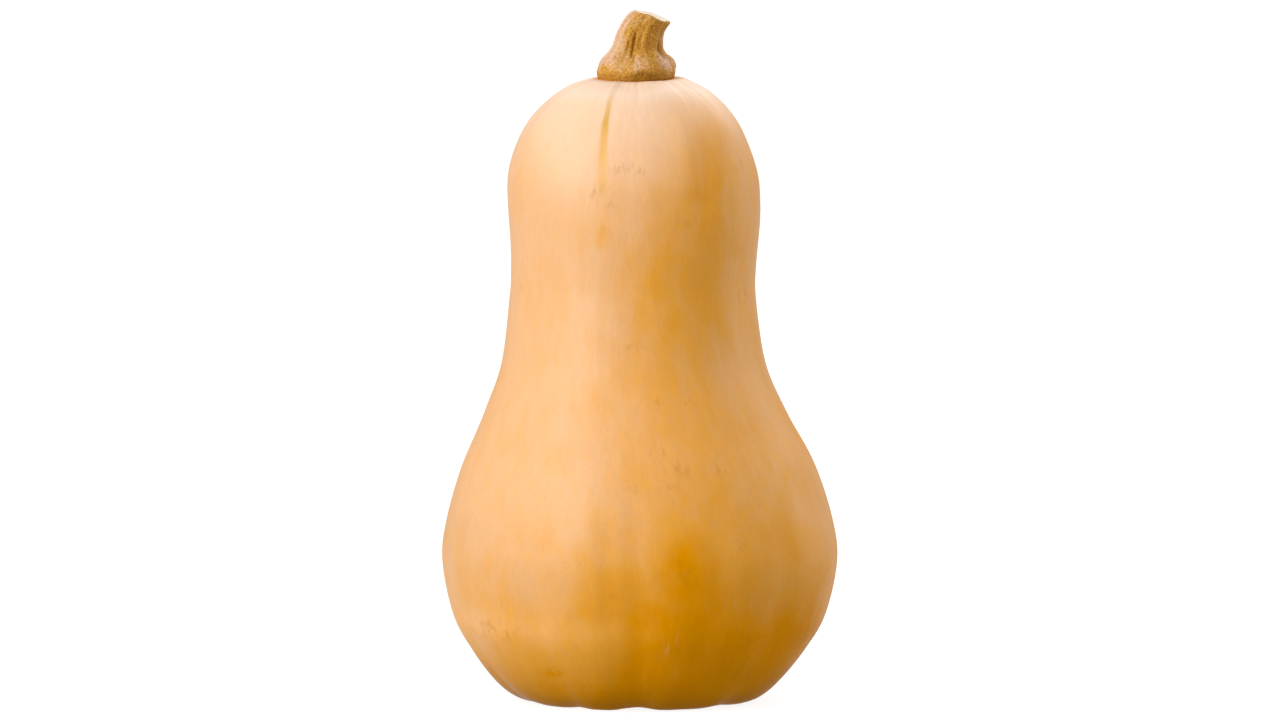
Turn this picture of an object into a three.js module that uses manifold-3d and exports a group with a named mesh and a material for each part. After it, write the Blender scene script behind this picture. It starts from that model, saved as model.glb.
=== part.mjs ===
// Butternut squash standing on its blossom end: the fruit, and the cut stem that grew on it.
// Millimetres, +Z up. The origin is on the surface that the squash stands on, under the middle of its outline.
// An angle round the fruit or the stem is 0 at the front, which is -Y, and grows towards +X.
import * as THREE from "three";
import { mergeVertices } from "three/addons/utils/BufferGeometryUtils.js";
import Module from "manifold-3d";

const { degToRad, euclideanModulo, lerp, smoothstep } = THREE.MathUtils;

// Driving dimensions of the fruit.
const FRUIT_HEIGHT = 208.0;
const BULB_RADIUS = 66.0;
const DEPTH_SHARE = 0.985; // the fruit is a little shallower front to back than it is wide
const RIB_DEPTH = 1.6; // the deepest valley between two ribs
const STANDING_FLAT = 0.4; // how much of each rib's lowest point is pressed flat where it stands

// Driving dimensions of the stem.
const STEM_HEIGHT = 21.1; // from its seat to the middle of the cut
const FOOT_RADIUS = 13.1;
const STEM_LEAN = 5.5; // how far the cut's middle stands to +X of the foot's
const CUT_TILT = degToRad(21);
const GROOVE_DEPTH = 0.14; // share of the stem's radius
const SEAT = new THREE.Vector3(-1.2, 2.4, FRUIT_HEIGHT - STANDING_FLAT); // the top of the fruit
const SEAT_SINK = 3.0; // how far the stem's blank runs below its seat before it is cut to fit
const SEAT_GAP = 0.3;

// The fruit's outline from the blossom scar, along its underside and up to the stem's seat, as
// [share of BULB_RADIUS, share of FRUIT_HEIGHT].
const OUTLINE = [
  [0.0, 0.0125], // middle of the blossom scar
  [0.036, 0.0105], // the scar's corky rim
  [0.068, 0.0155], // the crease round it
  [0.18, 0.0125],
  [0.36, 0.004],
  [0.52, 0.0], // the ring that it stands on
  [0.627, 0.009],
  [0.728, 0.034],
  [0.847, 0.082],
  [0.943, 0.137],
  [1.0, 0.222], // widest, on the bulb
  [0.979, 0.288],
  [0.891, 0.379],
  [0.765, 0.463],
  [0.668, 0.541],
  [0.622, 0.643],
  [0.618, 0.7], // waist
  [0.636, 0.797], // widest again, on the neck
  [0.62, 0.86],
  [0.532, 0.928],
  [0.388, 0.977],
  [0.238, 0.997],
  [0.0, 1.0],
];

// How far the fruit's middle wanders to +X and to +Y, at even steps up its height.
const WANDER = [
  [-0.4, -0.2],
  [0.0, -0.2],
  [0.0, -0.2],
  [-0.3, 0.3],
  [-1.7, 1.4],
  [-2.1, 2.2],
  [-1.7, 2.4],
  [-2.3, 2.4],
  [-1.6, 2.4],
];

// The valleys between the ribs. Each runs from an angle at the foot to an angle on the neck, in degrees.
// Depth is a share of RIB_DEPTH, and width is half the valley's own, in degrees.
const VALLEYS = [
  { foot: -172, neck: -178, depth: 0.7, width: 12 },
  { foot: -136, neck: -144, depth: 0.4, width: 10 },
  { foot: -101, neck: -110, depth: 0.55, width: 11 },
  { foot: -66, neck: -76, depth: 0.2, width: 9 },
  { foot: -35, neck: -40, depth: 0.25, width: 9 },
  { foot: -2, neck: -14.5, depth: 1.0, width: 11 },
  { foot: 22, neck: 13, depth: 0.1, width: 8 },
  { foot: 47, neck: 40, depth: 0.6, width: 10 },
  { foot: 83, neck: 79, depth: 0.4, width: 10 },
  { foot: 117, neck: 112, depth: 0.7, width: 12 },
  { foot: 153, neck: 146, depth: 0.5, width: 10 },
];

// The stem's outline from its foot to its cut, as [share of STEM_HEIGHT, share of FOOT_RADIUS].
const STEM_OUTLINE = [
  [0.0, 0.99],
  [0.15, 1.0],
  [0.27, 0.94],
  [0.37, 0.8],
  [0.49, 0.67],
  [0.63, 0.62],
  [0.84, 0.55],
  [0.95, 0.53],
  [1.0, 0.49], // the cut's rim, rounded over
];
const STEM_RIDGES = 5;
const FIRST_GROOVE = degToRad(-11);

// How finely each surface is cut into facets.
const FRUIT_AROUND = 64;
const FRUIT_RINGS = 44;
const STEM_AROUND = 40;
const STEM_RINGS = 20;

// How deep the valleys are at an angle and a share of the fruit's height: full at the foot, less than half as
// deep round the waist, and deeper again on the shoulder. They run out before the blossom scar and the stem.
function valleyDepth(angle, heightShare, radiusShare) {
  const towardsNeck = smoothstep(heightShare, 0.1, 0.75);
  const onBulb = 1 - 0.6 * smoothstep(heightShare, 0.1, 0.55);
  const onShoulder = 0.45 * smoothstep(heightShare, 0.7, 0.9);
  const fromPole = smoothstep(radiusShare, 0.08, 0.35);
  let bells = 0;
  for (const { foot, neck, depth, width } of VALLEYS) {
    const middle = degToRad(lerp(foot, neck, towardsNeck));
    const away = euclideanModulo(angle - middle + Math.PI, 2 * Math.PI) - Math.PI;
    bells += depth * Math.exp(-((away / degToRad(width)) ** 2));
  }
  return RIB_DEPTH * bells * (onBulb + onShoulder) * fromPole;
}

// The fruit: its outline turned about its height, ribbed, and pressed flat where it stands.
function fruitGeometry() {
  const outline = new THREE.SplineCurve(
    OUTLINE.map(([r, z]) => new THREE.Vector2(r * BULB_RADIUS, z * FRUIT_HEIGHT)),
  );
  const wander = new THREE.SplineCurve(WANDER.map(([x, y]) => new THREE.Vector2(x, y)));
  const rings = outline.getPoints(FRUIT_RINGS);
  const outwards = rings.map((_, j) => {
    const along = outline.getTangent(j / FRUIT_RINGS);
    return new THREE.Vector2(along.y, -along.x);
  });
  const geometry = new THREE.LatheGeometry(rings, FRUIT_AROUND);
  const position = geometry.attributes.position;
  for (let i = 0; i <= FRUIT_AROUND; i++) {
    const angle = ((i % FRUIT_AROUND) / FRUIT_AROUND) * 2 * Math.PI;
    rings.forEach((ring, j) => {
      const deep = valleyDepth(angle, ring.y / FRUIT_HEIGHT, ring.x / BULB_RADIUS);
      const radius = Math.max(ring.x - deep * outwards[j].x, 0);
      const height = Math.max(ring.y - deep * outwards[j].y - STANDING_FLAT, 0);
      const middle = wander.getPoint(height / FRUIT_HEIGHT);
      position.setXYZ(
        i * rings.length + j,
        middle.x + radius * Math.sin(angle),
        middle.y - radius * Math.cos(angle) * DEPTH_SHARE,
        height,
      );
    });
  }
  return geometry;
}

// The stem's blank, on its seat's middle: a ridged column that flares into a foot, leans over and ends in a
// tilted cut. Its foot runs down past the seat.
function stemBlankGeometry() {
  const outline = new THREE.SplineCurve(
    STEM_OUTLINE.map(([z, r]) => new THREE.Vector2(z * STEM_HEIGHT, r * FOOT_RADIUS)),
  );
  const rings = outline.getSpacedPoints(STEM_RINGS);
  const geometry = new THREE.CylinderGeometry(1, 1, 1, STEM_AROUND, STEM_RINGS).rotateX(Math.PI / 2);
  const position = geometry.attributes.position;
  for (let k = 0; k < position.count; k++) {
    const ring = rings[Math.round((position.getZ(k) + 0.5) * STEM_RINGS)];
    const heightShare = ring.x / STEM_HEIGHT;
    const angle = Math.atan2(position.getX(k), -position.getY(k));
    const groove = (0.5 + 0.5 * Math.cos((angle - FIRST_GROOVE) * STEM_RIDGES)) ** 2;
    const grooved = ring.y * (1 - GROOVE_DEPTH * groove * smoothstep(heightShare, 0.05, 0.4));
    const radius = grooved * Math.hypot(position.getX(k), position.getY(k));
    const tilt = CUT_TILT * smoothstep(heightShare, 0.3, 1);
    const across = radius * Math.sin(angle);
    position.setXYZ(
      k,
      STEM_LEAN * heightShare ** 4 + across * Math.cos(tilt),
      -radius * Math.cos(angle),
      ring.x - across * Math.sin(tilt) - SEAT_SINK * (1 - smoothstep(heightShare, 0, 0.08)),
    );
  }
  return geometry;
}

const wasm = await Module();
wasm.setup();

// A closed geometry as a solid that can be cut.
function solidOf(geometry) {
  const bare = geometry.clone();
  bare.deleteAttribute("normal");
  bare.deleteAttribute("uv");
  const merged = mergeVertices(bare, 1e-3);
  return new wasm.Manifold(
    new wasm.Mesh({
      numProp: 3,
      vertProperties: merged.attributes.position.array,
      triVerts: new Uint32Array(merged.index.array),
    }),
  );
}

// A cut solid as a geometry again.
function geometryOf(solid) {
  const mesh = solid.getMesh();
  const geometry = new THREE.BufferGeometry();
  geometry.setAttribute("position", new THREE.BufferAttribute(mesh.vertProperties, 3));
  geometry.setIndex(new THREE.BufferAttribute(mesh.triVerts, 1));
  geometry.computeVertexNormals();
  return geometry;
}

const squash = new THREE.Group();

const rind = new THREE.MeshStandardMaterial({ color: "#e9b06a", roughness: 0.5, metalness: 0 });
const fruit = new THREE.Mesh(fruitGeometry(), rind);
fruit.name = "fruit";
squash.add(fruit);

// The stem's foot follows the fruit's top, one gap above it.
const cork = new THREE.MeshStandardMaterial({ color: "#b98a4c", roughness: 0.85, metalness: 0 });
const fruitBelow = solidOf(fruit.geometry).translate(-SEAT.x, -SEAT.y, SEAT_GAP - SEAT.z);
const stem = new THREE.Mesh(geometryOf(solidOf(stemBlankGeometry()).subtract(fruitBelow)), cork);
stem.name = "stem";
stem.position.copy(SEAT);
squash.add(stem);

export default squash;
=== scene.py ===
"""A butternut squash: the ribbed fruit in its waxy rind, the corky scar of its flower, and its cut stem."""

import math
from functools import partial

import bpy
import numpy as np
from bpy.props import FloatProperty, FloatVectorProperty, IntProperty, PointerProperty
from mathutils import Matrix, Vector, noise


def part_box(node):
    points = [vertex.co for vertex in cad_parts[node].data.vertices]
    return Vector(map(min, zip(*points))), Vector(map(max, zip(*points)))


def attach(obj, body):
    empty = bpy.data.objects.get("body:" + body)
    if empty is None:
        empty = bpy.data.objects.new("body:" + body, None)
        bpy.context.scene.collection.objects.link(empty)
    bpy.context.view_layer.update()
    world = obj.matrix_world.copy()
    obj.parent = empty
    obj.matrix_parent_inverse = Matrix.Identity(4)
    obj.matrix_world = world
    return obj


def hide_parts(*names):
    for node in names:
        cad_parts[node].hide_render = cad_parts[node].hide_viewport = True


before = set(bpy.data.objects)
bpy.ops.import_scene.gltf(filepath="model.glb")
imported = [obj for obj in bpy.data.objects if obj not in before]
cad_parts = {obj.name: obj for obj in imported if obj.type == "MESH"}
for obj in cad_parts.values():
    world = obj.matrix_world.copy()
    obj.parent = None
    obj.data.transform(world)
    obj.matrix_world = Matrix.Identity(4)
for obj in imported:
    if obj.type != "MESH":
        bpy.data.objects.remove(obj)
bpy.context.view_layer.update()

bl_info = {
    "name": "Butternut Squash",
    "version": (1, 0, 0),
    "blender": (4, 5, 0),
    "location": "View3D > Sidebar > Squash",
    "description": "Grows a butternut squash with its cut stem, and lights it in a plain studio",
    "category": "Add Mesh",
}

MM = 0.001
BODY = "root"
FRUIT_LOW, FRUIT_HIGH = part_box("fruit")
STEM_LOW, STEM_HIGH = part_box("stem")
FRUIT_RADIUS = (FRUIT_HIGH.x - FRUIT_LOW.x) / 2
FRUIT_HEIGHT = FRUIT_HIGH.z - FRUIT_LOW.z

# Every angle is 0 at the front, which is -Y, and grows towards +X.

# The fruit's outline from the middle of its blossom scar, along its underside and up to the stem's seat, as
# [share of the bulb's radius, share of the height].
FRUIT_OUTLINE = [
    [0.0, 0.0125],
    [0.036, 0.0105],
    [0.068, 0.0155],
    [0.18, 0.0125],
    [0.36, 0.004],
    [0.52, 0.0],
    [0.627, 0.009],
    [0.728, 0.034],
    [0.847, 0.082],
    [0.943, 0.137],
    [1.0, 0.222],
    [0.979, 0.288],
    [0.891, 0.379],
    [0.765, 0.463],
    [0.668, 0.541],
    [0.622, 0.643],
    [0.618, 0.7],
    [0.636, 0.797],
    [0.62, 0.86],
    [0.532, 0.928],
    [0.388, 0.977],
    [0.238, 0.997],
    [0.0, 1.0],
]

# How far the fruit's middle wanders to +X and to +Y at even steps up its height, in millimetres.
WANDER = [
    [-0.4, -0.2],
    [0.0, -0.2],
    [0.0, -0.2],
    [-0.3, 0.3],
    [-1.7, 1.4],
    [-2.1, 2.2],
    [-1.7, 2.4],
    [-2.3, 2.4],
    [-1.6, 2.4],
]

# The valleys between the ribs: the angle at the foot, the angle on the neck, the depth as a share of the
# rib depth, and half the width, with the angles and the width in degrees.
VALLEYS = [
    (-172, -178, 0.7, 12),
    (-136, -144, 0.4, 10),
    (-101, -110, 0.55, 11),
    (-66, -76, 0.25, 9),
    (-33, -38, 0.42, 7),
    (-9, -14, 0.14, 4),
    (0, -3, 0.74, 9),
    (22, 13, 0.1, 8),
    (47, 42, 0.5, 9),
    (83, 79, 0.4, 10),
    (117, 112, 0.7, 12),
    (153, 146, 0.5, 10),
]

# The creases in the skin: the angle at the low end and at the high end in degrees, the depth in
# millimetres, half the width in degrees, and the shares of the height between which each runs.
CREASES = [
    (-172, -175, 0.45, 4, -0.1, 0.3),
    (-136, -139, 0.3, 4, -0.1, 0.25),
    (-101, -105, 0.35, 4, -0.1, 0.3),
    (-66, -70, 0.2, 4, -0.1, 0.22),
    (-33, -36, 0.4, 4.5, 0.1, 0.4),
    (-9, -10, 0.16, 2.6, 0.1, 0.38),
    (0, -2, 0.28, 3.4, 0.01, 0.46),
    (9, 7, 0.12, 3, 0.3, 0.55),
    (26, 22, 0.16, 3.5, 0.1, 0.4),
    (48, 46, 0.45, 4.5, 0.03, 0.42),
    (84, 81, 0.3, 4, -0.1, 0.3),
    (117, 114, 0.45, 4, -0.1, 0.3),
    (153, 150, 0.35, 4, -0.1, 0.3),
    (35, 37, 0.8, 4.5, 0.78, 0.95),
    (-15, -13, 0.2, 3, 0.85, 1.01),
    (84, 84, 0.3, 5, 0.86, 1.01),
    (124, 124, 0.4, 5, 0.86, 1.01),
    (172, 172, 0.35, 5, 0.86, 1.01),
    (-128, -128, 0.3, 5, 0.86, 1.01),
    (-80, -80, 0.25, 5, 0.86, 1.01),
]

RIB_DRIFT = -8  # how far most ribs turn between the foot and the neck, in degrees

# How ripe the rind is round the fruit, and partly painted shade: palest on the left of the front, where the
# key light falls, and deepest on the front right, away from it: [angle in degrees, 0 for pale and 1 for
# ochre].
OCHRE_AND_SHADE_SIDE = [
    [-180, 0.4],
    [-120, 0.15],
    [-60, 0.02],
    [-26, 0.08],
    [-12, 0.26],
    [0, 0.54],
    [12, 0.8],
    [30, 0.8],
    [55, 0.72],
    [90, 0.62],
    [140, 0.5],
    [180, 0.4],
]

# Riper patches on the front, or less ripe where the strength is below 0: x, height, half width and half
# height in millimetres, and strength.
RIPE_PATCHES = [
    (18.5, 50, 11, 11, 0.5),
    (6, 32, 7, 8, -0.12),
    (56, 40, 6, 12, -0.16),
    (13, 54, 5, 5, 0.3),
    (3, 35, 8, 4, 0.3),
    (-9, 40, 9, 11, 0.42),
    (-31, 34, 13, 9, 0.2),
    (-55, 40, 5, 8, 0.24),
    (-6, 58, 13, 12, 0.3),
    (-30, 54, 16, 12, 0.3),
    (-20, 46, 13, 13, 0.3),
    (27, 68, 7, 9, 0.22),
    (17, 143, 20, 18, 0.3),
    (23, 178, 5, 19, 0.5),
    (-11, 158.5, 2.4, 3.4, 0.42),
    (-28, 14, 2.4, 1.8, 0.5),
    (39.5, 20, 1.8, 5, -0.3),
    (-54, 42, 13, 16, 0.35),
    (48, 62, 5, 14, 0.25),
    (48, 15, 10, 9, 0.45),
]

# Patches on the front that are lighter, or darker where the strength is below 0, in the same form. The
# first three are painted light and shade: a lighter band low on the left, a darker one above it, and a
# lighter patch low on the right.
LIGHTER_PATCHES = [
    (-34, 24, 40, 9, 0.12),
    (-40, 54, 40, 14, -0.06),
    (42, 21, 15, 8, 0.1),
    (14, 178, 12, 20, 0.03),
    (8, 166, 26, 20, 0.045),
    (18, 195, 13, 9, 0.04),
    (38, 74, 12, 14, 0.02),
    (15, 52, 12, 9, -0.03),
]

# Scuffed patches on the front, in the same form.
SCUFFS = [
    (-8, 181, 2.5, 2.2, 1.0),
    (-1.5, 180, 4, 2, 1.0),
    (-15, 173.5, 4, 2.6, 1.0),
    (-12, 169, 4, 1.6, 0.8),
    (17.5, 162, 2.5, 1.5, 1.0),
    (33, 180, 3, 2, 0.6),
    (-39, 138, 1.5, 1.5, 0.9),
    (34, 136, 2.5, 4, 0.8),
    (-3, 121, 4, 1.4, 0.9),
    (6, 103, 3, 2, 0.8),
    (16, 104, 3, 2, 0.8),
    (8, 87, 4, 2.5, 1.0),
    (14, 82, 3, 3, 1.0),
    (27, 82.5, 2, 3.5, 1.1),
    (28, 76, 1.6, 1.6, 1.0),
    (10, 76, 5, 2, 0.7),
    (-3, 75, 3, 3, 0.5),
    (-47, 27, 9, 4, 0.9),
    (-28, 14, 3, 2.2, 1.2),
    (-10, 38, 6, 5, 0.5),
    (3, 33, 4, 4, 0.6),
    (14, 47, 6, 8, 0.5),
    (34, 57, 3, 8, 0.5),
    (36, 24, 10, 5, 0.4),
    (-20, 8, 12, 2.5, 0.6),
]

# Patches with pale, healed nicks, in the same form.
NICKS = [
    (9.8, 26, 2.5, 7, 1.0),
    (33.3, 181.4, 1.2, 1.2, 2.5),
    (24, 70, 5, 6, 0.6),
    (-2, 92, 4, 5, 0.5),
    (36, 34, 7, 7, 0.6),
]

# The middle line of the golden streak below the stem, from its top: [x, height] in millimetres.
STREAK_PATH = [
    [-6.2, 207.6],
    [-7.2, 206.8],
    [-8.6, 205],
    [-10.0, 202],
    [-11.3, 195],
    [-12.1, 185],
    [-12.6, 170],
]
FAR_FROM_STREAK = 99  # how far from it every point on the fruit's back is taken to be, in millimetres

# Half the streak's width down its length: [share of the way, millimetres].
STREAK_WIDTHS = [(0, 0.7), (0.09, 0.9), (0.13, 0.75), (0.3, 0.85), (0.42, 1.1), (1, 1.3)]

# The streak's colours down its length: a brown hairline that turns into an olive line, and that into a
# golden band: [share of the way, colour, how much it covers the rind].
STREAK_COLOURS = [
    (0, "A8937E", 0.35),
    (0.07, "B8987A", 0.2),
    (0.13, "D2A358", 0.4),
    (0.22, "D6A63C", 0.68),
    (0.33, "DAA640", 0.95),
    (0.46, "E8AE56", 0.85),
    (0.62, "E8AE56", 0.82),
    (0.75, "E8AC58", 0.6),
    (0.88, "E8AE54", 0.7),
    (1, "E0A255", 0),
]

# The middle of the stem's foot.
STEM_MIDDLE = np.array([-1.2, 2.4]) * MM

# The stem's outline from inside the skin, past its foot and up to its cut, as [share of the height, share
# of the foot's radius].
STEM_OUTLINE = [
    [-0.13, 0.9],
    [-0.03, 0.955],
    [0.03, 0.985],
    [0.14, 1.0],
    [0.27, 0.94],
    [0.37, 0.8],
    [0.49, 0.67],
    [0.63, 0.62],
    [0.84, 0.55],
    [0.95, 0.535],
    [0.985, 0.52],
    [1.0, 0.49],
]

# The stem's creases and ridges: the angle at the low end and at the high end in degrees, the depth in
# millimetres, which is below 0 for a ridge, half the width in degrees, and the shares of the height between
# which each runs. The spur is the sharp ridge that runs down the right of the front into the foot.
SPUR = (67, 38, -0.9, 7, 0.14, 0.5)
STEM_CREASES = [
    (-10, -14, 1.0, 3.8, 0.26, 0.76),
    (-22, -23, 0.6, 3.2, 0.32, 0.62),
    (8, 2, 0.15, 4, 0.4, 0.9),
    (24, 20, 0.2, 5, 0.45, 1.0),
    (-34, -40, 0.15, 5, 0.5, 1.0),
    (-50, -46, -0.45, 26, 0.25, 1.05),
    (66, 63, 0.35, 5, 0.3, 1.0),
    (66, 64, 0.65, 7, 0.24, 0.62),
    SPUR,
    (100, 105, 0.7, 6, 0.3, 1.0),
    (136, 131, 0.9, 6, 0.3, 1.0),
    (180, 176, 0.5, 5, 0.35, 1.0),
    (-150, -155, 1.0, 6, 0.3, 1.0),
    (-118, -120, 0.5, 5, 0.35, 1.0),
    (-84, -88, 0.6, 6, 0.3, 0.95),
    (-52, -50, -0.5, 12, 0.15, 0.45),
    (20, 18, -0.4, 12, 0.12, 0.4),
    (95, 95, -0.5, 12, 0.12, 0.4),
    (165, 165, -0.6, 12, 0.12, 0.4),
    (-120, -120, -0.5, 12, 0.12, 0.4),
]

# Where the stem's sides and back are worn: the angle and half the width in degrees, and the middle and half
# the height as shares of the stem's.
WORN_RIDGES = [(56, 10, 0.28, 0.14), (100, 20, 0.6, 0.4), (168, 20, 0.6, 0.4), (-120, 20, 0.6, 0.4)]

# The blossom scar's section, from its middle under the fruit, over its rim and back inside the fruit, as
# [share of its radius, millimetres above the lowest of the fruit].
SCAR_OUTLINE = [
    [0.0, 1.55],
    [0.1, 1.6],
    [0.2, 1.95],
    [0.36, 1.75],
    [0.55, 1.45],
    [0.78, 1.65],
    [0.95, 2.25],
    [1.0, 2.75],
    [0.9, 3.2],
    [0.5, 3.4],
    [0.0, 3.4],
]

# The lights: azimuth and elevation in degrees, distance, width and height in metres, and power in watts.
LIGHTS = {
    "key_softbox": (-50, 18, 1.5, 1.1, 1.1, 15.8),
    "right_softbox": (108, 8, 1.5, 0.7, 1.0, 5.4),
    "back_softbox": (150, 35, 1.5, 0.9, 0.9, 6.5),
}

# How bright the room is from straight down, through level, to straight up: [share of the way, brightness].
ROOM = [
    (0.0, 0.1),
    (0.24, 0.2),
    (0.30, 1.1),
    (0.37, 1.25),
    (0.45, 0.55),
    (0.53, 0.2),
    (0.60, 0.3),
    (0.68, 0.7),
    (0.9, 0.75),
    (1.0, 0.85),
]

# How bright the room is towards -X and towards +X, as shares of that.
ROOM_SIDES = (1.18, 0.92)

# What the lights and the camera face, in millimetres.
LIGHT_AIM = (0, 0, 110)
CAMERA_AIM = (0.13, 0, 113.4)

# The picture's width in pixels, and how many of them show a millimetre of the squash.
IMAGE_WIDTH = 1280
PIXELS_PER_MM = 3

# What many nodes share: an even ramp between two values with soft ends, and a mix of two colours.
SOFT_ENDS = {"interpolation_type": "SMOOTHSTEP"}
OF_COLOURS = {"data_type": "RGBA", "out": 2}


# --- Numbers and grids -----------------------------------------------------------------------------


def linear(hex_code):
    """An sRGB hex colour as linear red, green and blue."""
    shares = [int(hex_code[k : k + 2], 16) / 255 for k in (0, 2, 4)]
    return [s / 12.92 if s <= 0.04045 else ((s + 0.055) / 1.055) ** 2.4 for s in shares]


def smoothstep(value, low, high):
    share = np.clip((value - low) / (high - low), 0, 1)
    return share * share * (3 - 2 * share)


def bell(value, middle, half_width):
    return np.exp(-(((value - middle) / half_width) ** 2))


def turned(angle, middle):
    """How far an angle lies from a middle one, in radians, the short way round."""
    return (angle - middle + np.pi) % (2 * np.pi) - np.pi


def on_column(radius, angle, height):
    """Points on an upright column, or on any skin of that radius and height at each angle."""
    across, ahead = radius * np.sin(angle), radius * np.cos(angle)
    return np.stack(np.broadcast_arrays(across, -ahead, height), axis=-1)


def smooth_through(points, share):
    """Points on the smooth curve through the given ones, at shares of the way along them."""
    points = np.asarray(points, float)
    spans = len(points) - 1
    place = np.clip(share, 0, 1) * spans
    first = np.minimum(place.astype(int), spans - 1)
    t = (place - first)[..., None]
    before, start = points[np.maximum(first - 1, 0)], points[first]
    end, after = points[first + 1], points[np.minimum(first + 2, spans)]
    leaving, arriving = (end - before) / 2, (after - start) / 2
    return (
        (2 * start - 2 * end + leaving + arriving) * t**3
        + (3 * end - 3 * start - 2 * leaving - arriving) * t**2
        + leaving * t
        + start
    )


def evenly_along(points, count):
    """A count of points, an even distance apart, on the smooth curve through the given ones."""
    fine = smooth_through(points, np.linspace(0, 1, 4001))
    run = np.insert(np.cumsum(np.linalg.norm(np.diff(fine, axis=0), axis=1)), 0, 0)
    at = np.linspace(0, run[-1], count)
    return np.stack([np.interp(at, run, fine[:, k]) for k in (0, 1)], axis=1)


def rough(places, size, seed):
    """A smooth random value from about -1 to 1 at each place, with bumps of about the given size."""
    shift = Vector((seed * 17.3, seed * -9.1, seed * 5.7))
    flat = np.asarray(places).reshape(-1, 3) / size
    values = [noise.noise(Vector(place) + shift) for place in flat]
    return np.reshape(values, np.shape(places)[:-1])


def outward(skin):
    """The way out of a skin at each of its points. A skin is a grid of points: round, then along."""
    around = np.roll(skin, -1, 0) - np.roll(skin, 1, 0)
    along = np.gradient(skin, axis=1)
    normal = np.cross(around, along)
    normal[:, 0], normal[:, -1] = normal[:, 1].mean(0), normal[:, -2].mean(0)
    return normal / np.linalg.norm(normal, axis=-1, keepdims=True)


# --- Objects and nodes -----------------------------------------------------------------------------


def in_scene(name, data):
    """A new object in the scene that shows a mesh, a light or a camera."""
    made = bpy.data.objects.new(name, data)
    bpy.context.scene.collection.objects.link(made)
    return made


def skin_object(name, skin, marks, materials, cut_from=None):
    """A closed, smooth mesh object from a skin whose first and last rings are single points. marks are
    named values at each point, and the faces past ring cut_from take the second material."""
    columns, rings = skin.shape[:2]
    inner = rings - 2
    points = np.concatenate([skin[:1, 0], skin[:, 1:-1].reshape(-1, 3), skin[:1, -1]])
    last = len(points) - 1
    near = 1 + np.arange(columns) * inner
    far = np.roll(near, -1)
    steps = np.arange(inner - 1)
    corners = [(near, 0), (far, 0), (far, 1), (near, 1)]
    quads = np.stack([(side[:, None] + steps + up).ravel() for side, up in corners], axis=1)
    low_fan = np.stack([np.zeros(columns, int), far, near], axis=1)
    high_fan = np.stack([near + inner - 1, far + inner - 1, np.full(columns, last)], axis=1)
    mesh = bpy.data.meshes.new(name)
    mesh.from_pydata(points.tolist(), [], quads.tolist() + low_fan.tolist() + high_fan.tolist())
    for material in materials:
        mesh.materials.append(material)
    if cut_from is not None:
        on_sides = np.tile(steps + 1 >= cut_from, columns)
        past = np.concatenate([on_sides, np.zeros(columns, bool), np.ones(columns, bool)])
        mesh.polygons.foreach_set("material_index", past.astype(np.int32))
    for mark, values in marks.items():
        between = values[:, 1:-1].reshape(-1, *values.shape[2:])
        flat = np.concatenate([values[:1, 0], between, values[:1, -1]])
        kind, slot = ("FLOAT_VECTOR", "vector") if flat.ndim == 2 else ("FLOAT", "value")
        layer = mesh.attributes.new(mark, kind, "POINT")
        layer.data.foreach_set(slot, flat.astype(np.float32).ravel())
    mesh.shade_smooth()
    return in_scene(name, mesh)


def add_node(tree, kind, inputs=None, out=0, stops=None, **settings):
    """Adds a shader node and returns one of its outputs. inputs maps a socket's name or number to its
    value, or to the output that feeds it. stops are a ramp's places and colours. A colour is red, green
    and blue, and in a ramp a fourth number may give its strength."""
    node = tree.nodes.new("ShaderNode" + kind)
    for name, value in settings.items():
        setattr(node, name, value)
    for key, value in (inputs or {}).items():
        socket = node.inputs[key]
        if isinstance(value, bpy.types.NodeSocket):
            tree.links.new(value, socket)
        elif socket.type == "RGBA":
            socket.default_value = [*value, 1]
        else:
            socket.default_value = value
    if stops:
        ramp = node.color_ramp.elements
        while len(ramp) < len(stops):
            ramp.new(1)
        for element, (place, colour) in zip(ramp, stops):
            element.position = place
            element.color = [*colour, 1][:4]
    return node.outputs[out] if node.outputs else None


def node_adder(owner):
    """Empties a material's or a world's nodes, and returns add_node for them."""
    owner.use_nodes = True
    owner.node_tree.nodes.clear()
    return partial(add_node, owner.node_tree)


# --- The fruit -------------------------------------------------------------------------------------


def valley_depth(angle, height_share, radius_share):
    """How deep the valleys are, as a share of the rib depth: full at the foot, faint round the waist, and
    deeper again on the shoulder. They run out before the blossom scar and the stem."""
    towards_neck = smoothstep(height_share, 0.1, 0.75)
    on_bulb = 1 - 0.85 * smoothstep(height_share, 0.12, 0.5)
    on_shoulder = 0.1 * smoothstep(height_share, 0.7, 0.9)
    bells = 0
    for foot, neck, depth, half_width in VALLEYS:
        middle = np.radians(foot + (neck - foot) * towards_neck)
        bells = bells + depth * bell(turned(angle, middle), 0, math.radians(half_width))
    return bells * (on_bulb + on_shoulder) * smoothstep(radius_share, 0.08, 0.35)


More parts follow.
